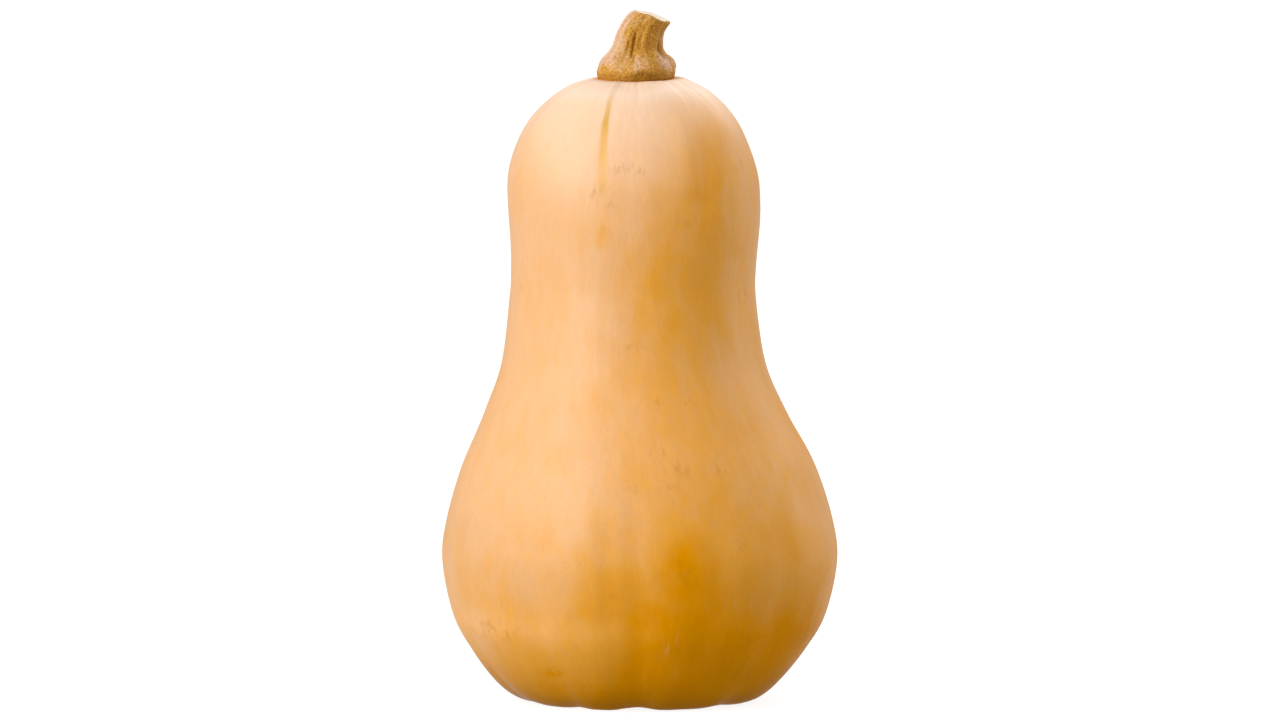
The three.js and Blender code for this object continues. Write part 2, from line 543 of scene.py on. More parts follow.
def fruit_skin(settings):
    """The fruit's smooth skin, fitted to its box, with its angle, its radius share and its height share."""
    proportion = [1.0, FRUIT_HEIGHT / FRUIT_RADIUS]
    outline = evenly_along(FRUIT_OUTLINE * np.array(proportion), settings.rings) / proportion
    radius_share, height_share = outline[:, 0], outline[:, 1].clip(0, 1)
    angle = np.linspace(0, 2 * np.pi, settings.columns, endpoint=False)[:, None]

    profile = np.stack([radius_share * FRUIT_RADIUS, height_share * FRUIT_HEIGHT], axis=1)
    along = np.gradient(profile, axis=0)
    along /= np.linalg.norm(along, axis=1, keepdims=True)
    deep = valley_depth(angle, height_share, radius_share) * settings.rib_depth
    out = np.maximum(profile[:, 0] - deep * along[:, 1], 0)
    up = np.maximum(profile[:, 1] + deep * along[:, 0] - settings.standing_flat, 0)
    middle = smooth_through(WANDER, up / FRUIT_HEIGHT) * MM
    x = middle[..., 0] + out * np.sin(angle)
    y = middle[..., 1] - out * np.cos(angle) * settings.depth_share
    skin = np.stack([x, y, up], axis=-1)

    low, high = np.array(FRUIT_LOW), np.array(FRUIT_HIGH)
    least, most = skin.reshape(-1, 3).min(0), skin.reshape(-1, 3).max(0)
    skin = low + (skin - least) / (most - least) * (high - low)
    skin[..., :2] *= settings.swell
    return skin, angle, radius_share, height_share


def rind_place(skin, angle, height_share):
    """Each point's place on the rind, which its patterns follow: round the fruit with the ribs, and the way
    along the skin from the blossom scar, both in millimetres."""
    drifted = angle - np.radians(RIB_DRIFT) * smoothstep(height_share, 0.1, 0.75)
    steps = np.linalg.norm(np.diff(skin, axis=1), axis=-1).mean(0)
    along = np.insert(np.cumsum(steps), 0, 0) / MM
    return on_column(FRUIT_RADIUS / MM, drifted, along[None])


def fruit_creases(angle, height_share):
    """How deep the creases in the rind are, in metres."""
    total = 0
    for low_angle, high_angle, depth, half_width, low, high in CREASES:
        share = (height_share - low) / (high - low)
        middle = np.radians(low_angle + (high_angle - low_angle) * share)
        length = smoothstep(share, 0, 0.25) * (1 - smoothstep(share, 0.6, 1))
        total = total + depth * MM * bell(turned(angle, middle), 0, math.radians(half_width)) * length
    return total


def fruit_relief(settings, skin, place, angle, radius_share, height_share):
    """How far the grown skin stands out from the smooth one, in metres. Its patterns' sizes are in
    millimetres."""
    from_poles = smoothstep(radius_share, 0.06, 0.3)
    on_top = height_share > 0.9
    from_stem = (skin[..., :2] - STEM_MIDDLE) / MM
    away = np.linalg.norm(from_stem, axis=-1)

    lumps = rough(skin / MM, 40, 3) + 0.35 * rough(skin / MM, 17, 5)
    fine_ribs = rough(place * [1, 1, 0.2], 5.5, 8) + 0.4 * rough(place * [1, 1, 0.35], 2.6, 9)
    fine_ribs = fine_ribs * (1 - on_top * smoothstep(-away, -24, -14))
    crest = bell(turned(angle, math.radians(28)), 0, math.radians(8))
    crest = crest * smoothstep(height_share, 0.76, 0.86) * (1 - smoothstep(height_share, 0.9, 0.97))
    to_right = from_stem[..., 0] / np.maximum(away, 1)
    lip = bell(away, 15.6, 2.4) * on_top * (0.75 + 0.45 * to_right)
    puckers = rough(place * [1, 1, 0.02], 6.5, 12) * on_top
    puckers = puckers * smoothstep(away, 12, 15) * (1 - smoothstep(away, 19, 33))
    gathers = rough(place * [1, 1, 0.02], 8, 13) * (height_share < 0.1)
    gathers = gathers * smoothstep(radius_share, 0.03, 0.12) * (1 - smoothstep(radius_share, 0.1, 0.5))
    relief = (
        settings.lump_height * lumps * from_poles
        + settings.fine_rib_height * fine_ribs * from_poles
        - settings.crease_share * fruit_creases(angle, height_share) * from_poles
        + settings.crest_height * crest
        + settings.lip_height * lip
        + settings.pucker_height * (puckers + 0.8 * gathers)
    )
    off_the_floor = smoothstep(skin[..., 2] / MM, 0.2, 1.5)
    return relief * off_the_floor


def offset_from(skin, path):
    """How far each point of a skin's front lies to +X of a path of [x, height] points, in millimetres."""
    path = np.array(path)
    x = np.interp(-skin[..., 2] / MM, -path[:, 1], path[:, 0])
    on_front = skin[..., 1] < 10 * MM
    return np.where(on_front, skin[..., 0] / MM - x, FAR_FROM_STREAK)


def patches(skin, places, raggedness=0):
    """The sum of patches on the front of a skin, each given as RIPE_PATCHES gives them. raggedness is how
    far their edges wander, in millimetres."""
    total = np.zeros(skin.shape[:2])
    x = skin[..., 0] / MM + raggedness * rough(skin / MM, 8, 23)
    z = skin[..., 2] / MM + raggedness * rough(skin / MM, 8, 24)
    for middle_x, middle_z, half_width, half_height, strength in places:
        away = ((x - middle_x) / half_width) ** 2 + ((z - middle_z) / half_height) ** 2
        total += strength * np.exp(-(away**1.6))
    return total * smoothstep(-skin[..., 1] / MM, -8, 10)


def stray_scuffs(skin):
    """A few scuffed places on the fruit's sides and back."""
    stray = smoothstep(rough(skin / MM * [1, 1, 1.4], 11, 41), 0.38, 0.62)
    return 0.75 * stray * smoothstep(skin[..., 1] / MM, -22, 0) * smoothstep(skin[..., 2] / MM, 4, 16)


def ripeness_and_shade(skin, angle):
    """How ripe the rind's colour is at each point, 0 for palest to 1 for deepest, how much it has of the
    crown's pale colour, and how light it is, around 1. The ripeness is partly painted shade, deepest away
    from the key light, towards the foot and in a ring round the stem's foot; the crown's pale colour is
    partly painted highlight; and how light it is holds painted light and shade, with painted contact shadow
    along the bottom."""
    height = skin[..., 2] / MM
    turn = (np.degrees(angle) - 18 * smoothstep(height, 140, 190) + 180) % 360 - 180
    # The ochre round the fruit: partly its ripeness and partly painted shade, palest where the key light
    # falls.
    ochre_and_shade = np.interp(turn, *np.array(OCHRE_AND_SHADE_SIDE).T)
    ragged = height + 9 * rough(skin / MM * [1, 1, 0.7], 24, 21)
    # Deeper ochre towards the foot, rising higher on the ochre side: partly the rind's own colour and
    # partly painted shade.
    by_foot = 1.9 * (1 - smoothstep(ragged, -8 + 14 * ochre_and_shade, 44 + 32 * ochre_and_shade))
    cloudy = 0.3 * rough(skin / MM, 21, 42) * smoothstep(skin[..., 1] / MM, -25, 5)
    # A painted shadow: a ring of deeper ochre, with less of the crown's pale colour, right round the stem's
    # foot.
    from_stem = np.linalg.norm(skin[..., :2] - STEM_MIDDLE, axis=-1) / MM
    stem_foot_shade = (1 - smoothstep(from_stem, 13.2, 15.6)) * (height > 150)
    ripe = (ochre_and_shade + by_foot + cloudy + 0.5 * stem_foot_shade + patches(skin, RIPE_PATCHES, 5)) / 2

    # The crown's pale colour, palest near the stem: partly the rind's own and partly painted highlight
    # where the top faces the light above.
    crown = smoothstep(ragged, 157 + 13 * ochre_and_shade, 225)
    crown = crown * (1 - 0.55 * ochre_and_shade * (1 - smoothstep(height, 179, 207)))
    crown = (crown + 0.35 * smoothstep(height, 199, 207)) * (1 - 0.75 * stem_foot_shade)
    # How light it is: the lighter patches, some of them painted light and shade, and painted contact shadow
    # that darkens it up to about 14 mm above the floor.
    light = 1 + patches(skin, LIGHTER_PATCHES) - 0.16 * (1 - smoothstep(ragged, 2, 14))
    return np.clip(ripe, 0, 1), crown, light


def fruit_marks(skin, place, angle):
    """What the rind's material reads at each point of the skin."""
    ripe, crown, light = ripeness_and_shade(skin, angle)
    top, end = STREAK_PATH[0][1], STREAK_PATH[-1][1]
    return {
        "rind_place": place,
        "ripe": ripe,
        "crown": crown,
        "light": light,
        "scuffed": patches(skin, SCUFFS) + stray_scuffs(skin),
        "nicked": patches(skin, NICKS) + 0.8 * stray_scuffs(skin * [-1, 1, 1]),
        "from_streak": offset_from(skin, STREAK_PATH),
        "down_streak": (top - skin[..., 2] / MM) / (top - end),
    }


def rind_material(settings):
    """Waxy squash rind: a thin, tough skin under a dull bloom. It goes from pale peach to ochre, partly as
    it ripens and partly as painted shade, deepest on the side away from the key light and towards the foot.
    It is paler on top, partly as painted highlight, it carries painted light and shade in lighter and
    darker patches, with painted contact shadow along the bottom, faint streaks run up it with the ribs, and
    fine pores and rubbed marks break it up."""
    material = bpy.data.materials.new("waxy squash rind")
    add = node_adder(material)
    place = add("Attribute", out="Vector", attribute_name="rind_place")
    ripe, crown, light, scuffed, nicked, from_streak, down_streak = (
        add("Attribute", out="Fac", attribute_name=mark)
        for mark in ("ripe", "crown", "light", "scuffed", "nicked", "from_streak", "down_streak")
    )

    # Streaks about 5 mm wide and 14 mm long, finer ones 1.3 mm wide, blotches about 16 mm across, and a
    # mottle of 3 mm.
    upright = add("VectorMath", {0: place, 1: (1, 1, 0.35)}, operation="MULTIPLY")
    halfway = add("VectorMath", {0: place, 1: (1, 1, 0.65)}, operation="MULTIPLY")
    streaks = add("TexNoise", {"Vector": upright, "Scale": 1 / 5, "Detail": 3, "Roughness": 0.55})
    fine_streaks = add("TexNoise", {"Vector": upright, "Scale": 1 / 1.3, "Detail": 2})
    blotches = add("TexNoise", {"Vector": halfway, "Scale": 1 / 16, "Detail": 5, "Roughness": 0.62})
    mottle = add("TexNoise", {"Vector": halfway, "Scale": 1 / 3, "Detail": 4, "Roughness": 0.6})

    # How ripe it is here, once they have made it uneven, and its colour, whose deeper ochre is partly
    # painted shade.
    uneven = add("Math", {0: streaks, 1: 0.2, 2: ripe}, operation="MULTIPLY_ADD")
    uneven = add("Math", {0: blotches, 1: 0.58, 2: uneven}, operation="MULTIPLY_ADD")
    uneven = add("Math", {0: mottle, 1: 0.2, 2: uneven}, operation="MULTIPLY_ADD")
    uneven = add("Math", {0: uneven, 1: 0.49}, operation="SUBTRACT", use_clamp=True)
    flesh = add(
        "ValToRGB",
        {0: uneven},
        stops=[
            (0.0, settings.pale_colour),
            (0.5, settings.ochre_colour),
            (0.95, settings.ripe_colour),
            (1.0, settings.ripest_colour),
        ],
    )
    # The crown's pale colour is partly painted highlight on the top.
    flesh = add("Mix", {0: crown, 6: flesh, 7: settings.crown_colour}, **OF_COLOURS)

    # Lighter and darker by a few parts in a hundred, with the mottle and the fine streaks.
    value = add("Math", {0: mottle, 1: 0.16, 2: 0.88}, operation="MULTIPLY_ADD")
    value = add("Math", {0: fine_streaks, 1: 0.08, 2: value}, operation="MULTIPLY_ADD")
    # The light mark carries painted light and shade, with painted contact shadow along the bottom.
    value = add("Math", {0: value, 1: light}, operation="MULTIPLY")
    flesh = add("HueSaturation", {"Value": value, "Color": flesh})

    # Pores: faint, darker dots about 0.4 mm across and 1.5 mm apart.
    spacing = add("TexVoronoi", {"Vector": place, "Scale": 1 / 1.5})
    pores = add("MapRange", {"Value": spacing, "From Min": 0.2, "From Max": 0.06}, **SOFT_ENDS)
    share = add("Math", {0: pores, 1: 0.22}, operation="MULTIPLY")
    flesh = add("Mix", {0: share, 6: flesh, 7: settings.scuff_colour}, **OF_COLOURS)

    # Scuffs: small brown dashes, a millimetre or two long, where the skin was rubbed.
    dashes = add("TexNoise", {"Vector": halfway, "Scale": 1 / 3.4, "Detail": 4, "Roughness": 0.68})
    dashes = add("MapRange", {"Value": dashes, "From Min": 0.48, "From Max": 0.66}, **SOFT_ENDS)
    dashes = add("Math", {0: dashes, 1: scuffed}, operation="MULTIPLY", use_clamp=True)
    share = add("Math", {0: dashes, 1: 0.36}, operation="MULTIPLY")
    flesh = add("Mix", {0: share, 6: flesh, 7: settings.scuff_colour}, **OF_COLOURS)

    # Nicks: pale, healed lines about 0.6 mm wide and 3 to 6 mm long.
    drawn_out = add("VectorMath", {0: place, 1: (1, 1, 0.2)}, operation="MULTIPLY")
    nicks = add("TexNoise", {"Vector": drawn_out, "Scale": 1 / 1.8, "Detail": 2})
    nicks = add("MapRange", {"Value": nicks, "From Min": 0.56, "From Max": 0.68}, **SOFT_ENDS)
    nicks = add("Math", {0: nicks, 1: nicked}, operation="MULTIPLY", use_clamp=True)
    share = add("Math", {0: nicks, 1: 0.3}, operation="MULTIPLY")
    flesh = add("Mix", {0: share, 6: flesh, 7: settings.pale_colour}, **OF_COLOURS)

    # The streak below the stem. Its edges wander by up to 0.8 mm, and are softest where it is widest.
    wobble = add("Math", {0: streaks, 1: 1.6, 2: -0.8}, operation="MULTIPLY_ADD")
    off_line = add("Math", {0: from_streak, 1: wobble}, operation="ADD")
    off_line = add("Math", {0: off_line}, operation="ABSOLUTE")
    half_width = add(
        "ValToRGB", {0: down_streak}, stops=[(way, [width, width, width]) for way, width in STREAK_WIDTHS]
    )
    off_line = add("Math", {0: off_line, 1: half_width}, operation="DIVIDE")
    on_line = add("MapRange", {"Value": off_line, "From Min": 1.7, "From Max": 0.5}, **SOFT_ENDS)
    line = add(
        "ValToRGB",
        {0: down_streak},
        stops=[(way, [*linear(colour), strength]) for way, colour, strength in STREAK_COLOURS],
    )
    share = add("Math", {0: on_line, 1: line.node.outputs["Alpha"]}, operation="MULTIPLY")
    flesh = add("Mix", {0: share, 6: flesh, 7: line}, **OF_COLOURS)

    # The bloom: glossiest where the rind is pale, and duller where it is ripe, scuffed or mottled.
    gloss = add("MapRange", {"Value": uneven, "From Min": 0.45, "To Min": 0.5, "To Max": 0.05})
    gloss_tint = add("Mix", {0: uneven, 6: [1, 1, 1], 7: settings.ripe_colour}, **OF_COLOURS)
    roughness = add("Math", {0: mottle, 1: 0.3, 2: 0.3}, operation="MULTIPLY_ADD")
    roughness = add("Math", {0: dashes, 1: 0.2, 2: roughness}, operation="MULTIPLY_ADD")
    grain = add("Math", {0: fine_streaks, 1: 0.35, 2: mottle}, operation="MULTIPLY_ADD")
    grain = add("Math", {0: pores, 1: -0.35, 2: grain}, operation="MULTIPLY_ADD")
    bump = add("Bump", {"Strength": 1.0, "Distance": 0.07 * MM, "Height": grain})
    surface = add(
        "BsdfPrincipled",
        {
            "Base Color": flesh,
            "Roughness": roughness,
            "IOR": 1.45,
            "Specular IOR Level": gloss,
            "Specular Tint": gloss_tint,
            "Normal": bump,
        },
    )
    add("OutputMaterial", {"Surface": surface})
    return material


# --- The stem --------------------------------------------------------------------------------------


def stem_creases(angle, share):
    """How deep the creases in the bark are, in millimetres. The ones that end well below the cut fade out,
    and the ones that end just below it fade by three quarters."""
    total = 0
    for low_angle, high_angle, depth, half_width, low, high in STEM_CREASES:
        along = (share - low) / (high - low)
        middle = np.radians(low_angle + (high_angle - low_angle) * along.clip(0, 1))
        fading = 1.0 if high < 0.8 else 0.75 if high < 1 else 0.0
        length = smoothstep(along, 0, 0.3) * (1 - fading * smoothstep(along, 0.75, 1))
        total = total + depth * bell(turned(angle, middle), 0, math.radians(half_width)) * length
    return total


def bark_wear_and_highlight(angle, share, place):
    """How worn and pale the bark is: most on the left of the front, on the foot's shoulder and down the
    spur. It is partly wear and partly painted highlight, on the left of the front where the key light
    falls, down the spur and on the right face.
    """
    turn = np.degrees(turned(angle, 0)) + 10 * rough(place, 3, 39)
    ragged = share + 0.07 * rough(place, 2.5, 38)
    edge = 10 + 20 * bell(share, 0.6, 0.17) - 8 * smoothstep(share, 0.75, 0.95)
    worn = 0.4 * smoothstep(-turn - edge, -4, 8) + 0.5 * smoothstep(-turn, 24, 62)
    worn = worn * (1 - smoothstep(-turn, 105, 140)) * smoothstep(ragged, 0.0, 0.3)
    worn = worn + 0.4 * bell(ragged, 0.3, 0.15) * (1 - worn)
    # Painted light: paler on the right face from halfway up.
    worn = worn + 0.35 * bell(turn, 62, 24) * smoothstep(share, 0.4, 0.6)
    # Partly painted highlight: a pale line down the spur near the foot.
    low_angle, high_angle, _, _, low, high = SPUR
    spur = np.radians(low_angle + (high_angle - low_angle) * ((share - low) / (high - low)).clip(0, 1))
    worn = worn + 0.9 * bell(turned(angle, spur), 0, math.radians(5)) * bell(share, 0.31, 0.13)
    for middle, half_width, height, half_height in WORN_RIDGES:
        away = turned(angle, math.radians(middle))
        worn = worn + 0.6 * bell(away, 0, math.radians(half_width)) * bell(ragged, height, half_height)
    return worn


def bark_foot_band(angle, share, place):
    """How dark and olive the bark is round its foot: most and highest to the right of the front."""
    fringe = 0.05 * rough(place, 4, 37) - 0.05 * bell(turned(angle, math.radians(5)), 0, math.radians(10))
    most = bell(turned(angle, math.radians(14)), 0, math.radians(28))
    return (1 - smoothstep(share + fringe, 0.06, 0.17)) * (0.4 + 1.3 * most)


def stem_skin(settings):
    """The stem's skin from inside the fruit up to the middle of its cut, what its materials read, and the
    ring where the cut starts. It is worked out in millimetres, upright on its foot, and then placed."""
    foot = (STEM_HIGH.x - STEM_LOW.x) / 2 / MM
    tall = settings.height_share * (STEM_HIGH.z - FRUIT_HIGH.z) / MM
    up_side, radius = evenly_along(STEM_OUTLINE * np.array([tall, foot]), settings.side_rings).T
    inwards = np.linspace(1, 0, settings.cut_rings + 1)[1:]
    share = np.concatenate([up_side / tall, np.ones_like(inwards)])
    inwards = np.concatenate([np.ones_like(up_side), inwards])
    radius = np.concatenate([radius, np.full(settings.cut_rings, radius[-1])])
    angle = np.linspace(0, 2 * np.pi, settings.columns, endpoint=False)[:, None]

    groove = (0.5 + 0.5 * np.cos((angle - settings.first_groove) * settings.ridges)) ** 2
    groove = groove * (1 - 0.75 * bell(turned(angle, 0), 0, 0.7))
    radius = radius * (1 - settings.groove_share * groove * smoothstep(share, 0.05, 0.4))
    creased = stem_creases(angle, share)
    folds = rough(on_column(foot, angle, share * tall * 0.22), 2.6, 31) * smoothstep(share, 0.1, 0.4)
    radius = radius - creased + settings.fold_height / MM * folds

    # The column leans and bows to +X. Its cut is hollow, deepest at the pith, with a faint ring round that.
    lean = (settings.lean * share**4 + settings.bow * bell(share, 0.62, 0.26)) / MM
    tilt = settings.cut_tilt * smoothstep(share, 0.3, 1)
    across, ahead = radius * inwards * np.sin(angle), radius * inwards * np.cos(angle)
    on_cut = inwards < 1
    hollow = settings.cut_hollow * (1 - inwards**2) + settings.pith_depth * bell(inwards, 0, 0.16)
    hollow = on_cut * (hollow - settings.ring_height * bell(inwards, 0.72, 0.12)) / MM
    x = lean + across * np.cos(tilt) - hollow * np.sin(tilt)
    z = share * tall - across * np.sin(tilt) - hollow * np.cos(tilt)

    # The rim is worn down on its left and at the front right.
    rim = radius[:, -1:].max()
    off_left = smoothstep(-across / rim, 0.15, 0.95) * smoothstep(share, 0.84, 1)
    off_right = smoothstep(ahead / rim, -0.2, 0.9) * smoothstep(across / rim, -0.3, 0.5)
    off_right = off_right * smoothstep(share, 0.88, 1)
    z = z - (settings.left_wear * off_left + settings.right_wear * off_right) / MM
    skin = np.stack([x, -ahead, z], axis=-1)
    skin[:, 0] = skin[:, 0].mean(0)  # the lowest ring, inside the fruit, closes in a point

    grains = 0.5 * rough(skin, 1.1, 33) + 0.5 * rough(skin, 0.55, 34)
    grainy = 0.5 + 0.5 * bell(turned(angle, math.radians(18)), 0, 0.6) * smoothstep(share, 0.3, 0.5)
    grainy = grainy + 0.35 * (1 - smoothstep(share, 0.1, 0.35))
    grainy = grainy * np.where(on_cut, 0.35, 1 - 0.6 * smoothstep(share, 0.9, 1))
    relief = settings.grain_height * grains * grainy + settings.lump_height * rough(skin, 3.2, 35)
    skin = skin + outward(skin) * (relief / MM * (share > -0.1))[..., None]
    skin = skin * MM + [*STEM_MIDDLE, FRUIT_HIGH.z]

    place = on_column(foot * 0.75, angle, share * tall)
    # The creased mark holds the creases' depth and the grooves, which the bark darkens as painted shade;
    # the wear mark holds wear and painted highlight.
    marks = {
        "bark_place": place,
        "cut_place": np.stack([across, ahead, 0 * across], axis=-1),
        "creased": np.clip(creased, 0, 1.4) + 0.25 * groove,
        "foot_band": bark_foot_band(angle, share, place),
        "wear_and_highlight": bark_wear_and_highlight(angle, share, place),
    }
    return skin, marks, settings.side_rings


def bark_material(settings):
    """Corky peduncle bark: dry, grainy cork that is pinkish and worn on the ridges, golden brown between
    them, and dark down in the creases. The pink on the ridges is partly painted highlight, and the dark in
    the creases is painted shade."""
    material = bpy.data.materials.new("corky peduncle bark")
    add = node_adder(material)
    place = add("Attribute", out="Vector", attribute_name="bark_place")
    creased, foot_band, wear_and_highlight = (
        add("Attribute", out="Fac", attribute_name=mark)
        for mark in ("creased", "foot_band", "wear_and_highlight")
    )

    # Blotches about 3 mm across, fibres 0.7 mm wide, round grains of 0.7 mm, and a speckle of 0.6 mm.
    upright = add("VectorMath", {0: place, 1: (1, 1, 0.35)}, operation="MULTIPLY")
    blotches = add("TexNoise", {"Vector": upright, "Scale": 1 / 3, "Detail": 4, "Roughness": 0.65})
    fibres = add("TexNoise", {"Vector": upright, "Scale": 1 / 0.7, "Detail": 3, "Roughness": 0.6})
    grains = add("TexVoronoi", {"Vector": place, "Scale": 1 / 0.7})
    speckle = add("TexNoise", {"Vector": place, "Scale": 1 / 0.6, "Detail": 3, "Roughness": 0.7})

    # How worn and pale it is, in broken patches: partly wear and partly painted highlight.
    worn = add("Math", {0: blotches, 1: 1.9, 2: wear_and_highlight}, operation="MULTIPLY_ADD")
    worn = add("Math", {0: speckle, 1: 0.55, 2: worn}, operation="MULTIPLY_ADD")
    worn = add("Math", {0: worn, 1: 1.22}, operation="SUBTRACT", use_clamp=True)
    bark = add(
        "ValToRGB",
        {0: worn},
        stops=[
            (0.0, settings.bark_colour),
            (0.3, settings.golden_colour),
            (0.62, settings.tan_colour),
            (1.0, settings.worn_and_highlight_colour),
        ],
    )

    # Where the foot meets the rind it is darker and olive, and broken like the rest.
    share = add("Math", {0: blotches, 1: 1.6, 2: -0.3}, operation="MULTIPLY_ADD")
    share = add("Math", {0: share, 1: foot_band}, operation="MULTIPLY", use_clamp=True)
    bark = add("Mix", {0: share, 6: bark, 7: settings.foot_colour}, **OF_COLOURS)

    # Dark gaps between the grains, which show least where the bark is worn.
    gaps = add("MapRange", {"Value": grains, "From Min": 0.35, "From Max": 0.8}, **SOFT_ENDS)
    plain = add("MapRange", {"Value": worn, "To Min": 0.4, "To Max": 0.16})
    share = add("Math", {0: gaps, 1: plain}, operation="MULTIPLY")
    bark = add("Mix", {0: share, 6: bark, 7: settings.crease_shade_and_gap_colour}, **OF_COLOURS)

    # Lighter and darker with the speckle and the fibres, and most so where it isn't worn.
    contrast = add("MapRange", {"Value": worn, "To Min": 1.35, "To Max": 0.75})
    value = add("Math", {0: speckle, 1: contrast, 2: 0.89}, operation="MULTIPLY_ADD")
    value = add("Math", {0: fibres, 1: 0.3, 2: value}, operation="MULTIPLY_ADD")
    value = add("Math", {0: contrast, 1: -0.5, 2: value}, operation="MULTIPLY_ADD")
    bark = add("HueSaturation", {"Value": value, "Color": bark})

    # Painted shade: darkest down in the creases and the grooves.
    share = add("MapRange", {"Value": creased, "From Min": 0.35, "From Max": 1.2}, **SOFT_ENDS)
    share = add("Math", {0: share, 1: 0.8}, operation="MULTIPLY")
    bark = add("Mix", {0: share, 6: bark, 7: settings.crease_shade_and_gap_colour}, **OF_COLOURS)

    # The grains and fibres stand up from it, and least where it is worn.
    height = add("Math", {0: speckle, 1: 0.6, 2: fibres}, operation="MULTIPLY_ADD")
    height = add("Math", {0: grains, 1: -0.6, 2: height}, operation="MULTIPLY_ADD")
    depth = add("MapRange", {"Value": worn, "To Min": 0.9, "To Max": 0.4})
    bump = add("Bump", {"Strength": depth, "Distance": 0.16 * MM, "Height": height})
    surface = add("BsdfPrincipled", {"Base Color": bark, "Roughness": 0.82, "IOR": 1.4, "Normal": bump})
    add("OutputMaterial", {"Surface": surface})
    return material


def cut_material(settings):
    """Sawn peduncle face: dry, cream fibres round a darker pith, with a small dark pit in each fibre."""
    material = bpy.data.materials.new("sawn peduncle face")
    add = node_adder(material)
    place = add("Attribute", out="Vector", attribute_name="cut_place")
    from_pith = add("VectorMath", {0: place}, out="Value", operation="LENGTH")

    # Fibres 0.5 mm apart, and blotches about 1.6 mm across.
    fibres = add("TexVoronoi", {"Vector": place, "Scale": 1 / 0.5})
    blotches = add("TexNoise", {"Vector": place, "Scale": 1 / 1.6, "Detail": 4, "Roughness": 0.6})
    tone = add("Math", {0: blotches, 1: 3.0, 2: from_pith}, operation="MULTIPLY_ADD")
    tone = add("Math", {0: tone, 1: 9.0}, operation="DIVIDE")
    wood = add(
        "ValToRGB",
        {0: tone},
        stops=[
            (0.12, settings.pith_colour),
            (0.28, settings.rim_colour),
            (0.5, settings.cut_colour),
            (0.82, settings.cut_colour),
            (0.97, settings.rim_colour),
        ],
    )
    pits = add("MapRange", {"Value": fibres, "From Min": 0.28, "From Max": 0.08}, **SOFT_ENDS)
    share = add("Math", {0: pits, 1: 0.3}, operation="MULTIPLY")
    wood = add("Mix", {0: share, 6: wood, 7: settings.crease_shade_and_gap_colour}, **OF_COLOURS)
    bump = add("Bump", {"Strength": 1.0, "Distance": 0.12 * MM, "Height": fibres})
    surface = add("BsdfPrincipled", {"Base Color": wood, "Roughness": 0.75, "IOR": 1.4, "Normal": bump})
    add("OutputMaterial", {"Surface": surface})
    return material


# --- The blossom scar ------------------------------------------------------------------------------


def scar_skin(settings):
    """The scar's skin, from its middle under the fruit, over its rim and back inside the fruit, and what
    its material reads. It is worked out in millimetres and then placed."""
    across, height = evenly_along(SCAR_OUTLINE, settings.rings).T
    angle = np.linspace(0, 2 * np.pi, settings.columns, endpoint=False)[:, None]
    ragged = 1 + 0.07 * np.sin(3 * angle + 0.6) + 0.05 * np.sin(5 * angle + 2)
    flat = on_column(across * ragged * settings.radius / MM, angle, height)
    rays = np.sin(5 * angle + 0.8 * np.sin(3 * across)) * bell(across, 0.5, 0.3)
    lumps = rough(flat * [1, 1, 0.3], 2.2, 52) * smoothstep(across, 0.1, 0.4)
    relief = settings.lump_height * lumps + settings.grain_height * rough(flat, 0.9, 51)
    relief = (relief + settings.ray_height * rays) / MM
    skin = flat + outward(flat) * relief[..., None]
    middle = np.array([*WANDER[0], FRUIT_LOW.z / MM])
    return (skin + middle) * MM, {"scar_place": flat, "from_middle": across + 0 * angle}


def scar_material(settings):
    """Corky blossom scar: dry, warm brown cork, cracked in rays, with a darker pip where the flower's style
    was."""
    material = bpy.data.materials.new("corky blossom scar")
    add = node_adder(material)
    place = add("Attribute", out="Vector", attribute_name="scar_place")
    from_middle = add("Attribute", out="Fac", attribute_name="from_middle")

    # Blotches about 1.4 mm across, and cracks about 0.8 mm apart.
    blotches = add("TexNoise", {"Vector": place, "Scale": 1 / 1.4, "Detail": 5, "Roughness": 0.65})
    cracks = add("TexVoronoi", {"Vector": place, "Scale": 1 / 0.8}, feature="DISTANCE_TO_EDGE")
    cracks = add("MapRange", {"Value": cracks, "From Min": 0.12, "From Max": 0.0}, **SOFT_ENDS)
    tone = add("Math", {0: blotches, 1: 0.9, 2: from_middle}, operation="MULTIPLY_ADD")
    tone = add("Math", {0: tone, 1: 1.9}, operation="DIVIDE")
    cork = add(
        "ValToRGB",
        {0: tone},
        stops=[
            (0.2, settings.pip_colour),
            (0.42, settings.cork_colour),
            (0.6, settings.rim_colour),
            (0.85, settings.cork_colour),
        ],
    )
    share = add("Math", {0: cracks, 1: 0.6}, operation="MULTIPLY")
    cork = add("Mix", {0: share, 6: cork, 7: settings.pip_colour}, **OF_COLOURS)
    height = add("Math", {0: cracks, 1: -1.0, 2: blotches}, operation="MULTIPLY_ADD")
    bump = add("Bump", {"Strength": 1.0, "Distance": 0.15 * MM, "Height": height})
    surface = add(
        "BsdfPrincipled",
        {"Base Color": cork, "Roughness": 0.85, "IOR": 1.4, "Specular IOR Level": 0.15, "Normal": bump},
    )
    add("OutputMaterial", {"Surface": surface})
    return material


# --- The studio ------------------------------------------------------------------------------------


